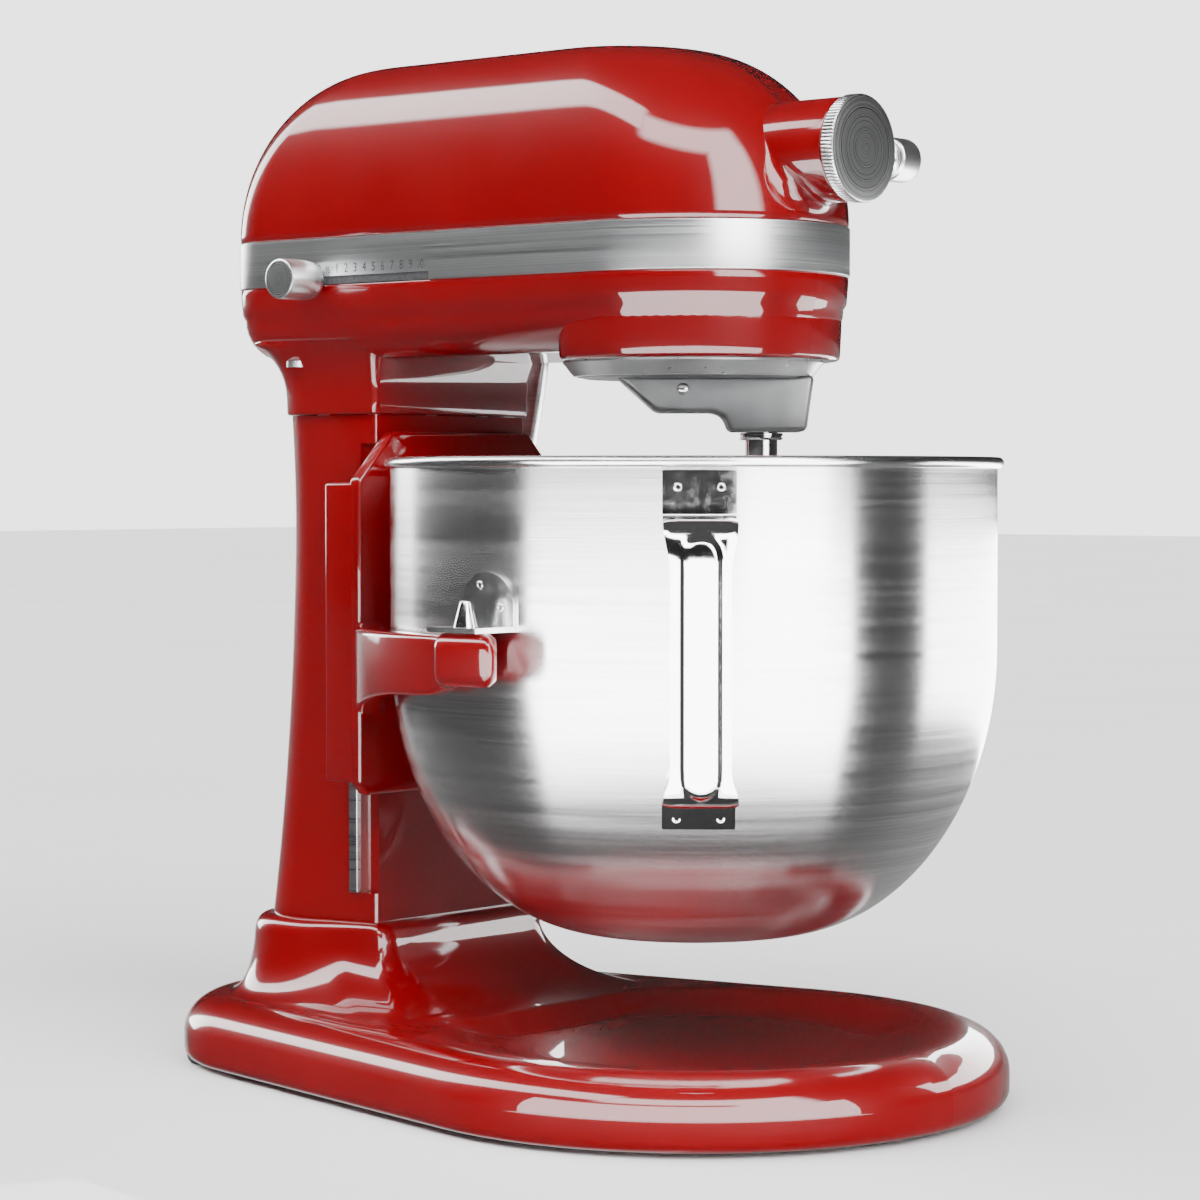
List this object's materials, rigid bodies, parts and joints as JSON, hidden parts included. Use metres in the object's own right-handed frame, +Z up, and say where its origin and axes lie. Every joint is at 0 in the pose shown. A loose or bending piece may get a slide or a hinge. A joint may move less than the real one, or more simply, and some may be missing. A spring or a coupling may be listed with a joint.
{
  "type": "bowl-lift stand mixer",
  "caption": "Bowl-lift stand mixer: a gloss enamelled base, column and head with a planetary drive, an attachment hub and a steel bowl on a lifting yoke.",
  "frame": {"origin": "on the ground, under the middle of the mixer's footprint", "axes": "+Z up, the front with the attachment hub and bowl towards -Y, the speed knob on the -X side"},
  "size_m": [0.284, 0.3685, 0.418],
  "materials": {
    "red_enamel": "deep gloss red enamel",
    "brushed_aluminium": "fine brushed, satin clear",
    "bowl_steel": "brushed round the bowl",
    "polished_steel": "polished",
    "cast_grey": "die-cast, satin grey",
    "gear_steel": "machined, oiled",
    "gear_bronze": "machined bronze",
    "shaft_steel": "ground",
    "zinc_screws": "zinc plated",
    "iron_core": "stacked laminations, varnished",
    "copper_wire": "enamelled copper winding",
    "black_plastic": "moulded nylon, matte",
    "rubber": "moulded rubber, matte",
    "board_green": "glass-fibre board, solder mask"
  },
  "bodies": {
    "root": {"base": "red_enamel", "rubber_feet": "rubber", "base_screws": "zinc_screws", "column": "red_enamel", "column_rails": "cast_grey", "column_screws": "zinc_screws", "head_lower": "red_enamel", "trim_band": "brushed_aluminium", "head_cover": "red_enamel", "vent_plate": "black_plastic", "cover_screws": "zinc_screws", "cable_gland": "black_plastic", "drip_ring": "cast_grey", "ring_gear": "gear_steel", "lower_bearing": "shaft_steel", "gear_bridge": "cast_grey", "upper_bearing": "shaft_steel", "step_bushes": "gear_bronze", "stator": "iron_core", "stator_coils": "copper_wire", "motor_brackets": "cast_grey", "motor_bearings": "shaft_steel", "brush_holders": "copper_wire", "control_board": "board_green", "speed_track": "black_plastic", "hub_bush": "gear_bronze"},
    "planetary": {"planetary_housing": "cast_grey", "planetary_pin": "shaft_steel", "centre_shaft": "shaft_steel", "centre_gear": "gear_bronze", "drive_bevel": "gear_steel", "agitator_bush": "gear_bronze"},
    "agitator": {"agitator_shaft": "shaft_steel", "agitator_pinion": "gear_bronze", "shaft_ring": "shaft_steel", "shaft_pin": "shaft_steel"},
    "step": {"step_shaft": "shaft_steel", "step_pinion": "gear_steel", "worm_wheel": "gear_bronze"},
    "rotor": {"motor_shaft": "shaft_steel", "motor_worm": "gear_steel", "rotor_core": "iron_core", "commutator": "copper_wire", "cooling_fan": "black_plastic"},
    "speed_control": {"speed_knob": "brushed_aluminium", "speed_slider": "black_plastic"},
    "hub_drive": {"hub_shaft": "shaft_steel"},
    "cap": {"hub_cap": "brushed_aluminium"},
    "clamp": {"clamp_knob": "brushed_aluminium"},
    "carriage": {"lift_carriage": "red_enamel", "bowl_yoke": "red_enamel", "bowl_pins": "polished_steel", "bowl_latch": "polished_steel", "lift_link": "cast_grey"},
    "lever": {"lift_shaft": "shaft_steel", "lift_lever": "brushed_aluminium"},
    "bowl": {"bowl": "bowl_steel", "bowl_handle": "polished_steel", "bowl_ears": "polished_steel", "bowl_catch": "polished_steel"}
  },
  "joints": [
    {"name": "bowl_lift", "type": "slide", "parent": "root", "child": "carriage", "axis": [0, 0, 1], "range_m": [-0.042, 0]},
    {"name": "lever_turn", "type": "hinge", "parent": "root", "child": "lever", "pos_m": [0, 0.09345, 0.22], "axis": [1, 0, 0], "range_deg": [-120, 0]},
    {"name": "bowl_removal", "type": "slide", "parent": "carriage", "child": "bowl", "axis": [0, 0, 1], "range_m": [0, 0.02]},
    {"name": "planetary_spin", "type": "hinge", "parent": "root", "child": "planetary", "pos_m": [0, -0.05845, 0.3], "axis": [0, 0, 1], "continuous": true},
    {"name": "agitator_spin", "type": "hinge", "parent": "planetary", "child": "agitator", "pos_m": [0.01753, -0.07898, 0.27], "axis": [0, 0, 1], "continuous": true},
    {"name": "step_spin", "type": "hinge", "parent": "root", "child": "step", "pos_m": [0.02775, -0.02964, 0.33], "axis": [0, 0, 1], "continuous": true},
    {"name": "rotor_spin", "type": "hinge", "parent": "root", "child": "rotor", "pos_m": [0, 0.04155, 0.352], "axis": [0, 1, 0], "continuous": true},
    {"name": "hub_spin", "type": "hinge", "parent": "root", "child": "hub_drive", "pos_m": [0, -0.08845, 0.373], "axis": [0, 1, 0], "continuous": true},
    {"name": "speed_slide", "type": "slide", "parent": "root", "child": "speed_control", "axis": [0, -1, 0], "range_m": [0, 0.053]},
    {"name": "hub_cap_pull", "type": "slide", "parent": "root", "child": "cap", "axis": [0, -1, 0], "range_m": [0, 0.1]},
    {"name": "clamp_turn", "type": "hinge", "parent": "root", "child": "clamp", "pos_m": [0.04, -0.12245, 0.373], "axis": [1, 0, 0], "range_deg": [0, 720]}
  ],
  "couplings": [
    {"joint": "lever_turn", "follows": "bowl_lift", "rad_per_m": 49.867},
    {"joint": "agitator_spin", "follows": "planetary_spin", "ratio": -4},
    {"joint": "step_spin", "follows": "planetary_spin", "ratio": -3},
    {"joint": "rotor_spin", "follows": "planetary_spin", "ratio": 30},
    {"joint": "hub_spin", "follows": "planetary_spin", "ratio": -1}
  ]
}
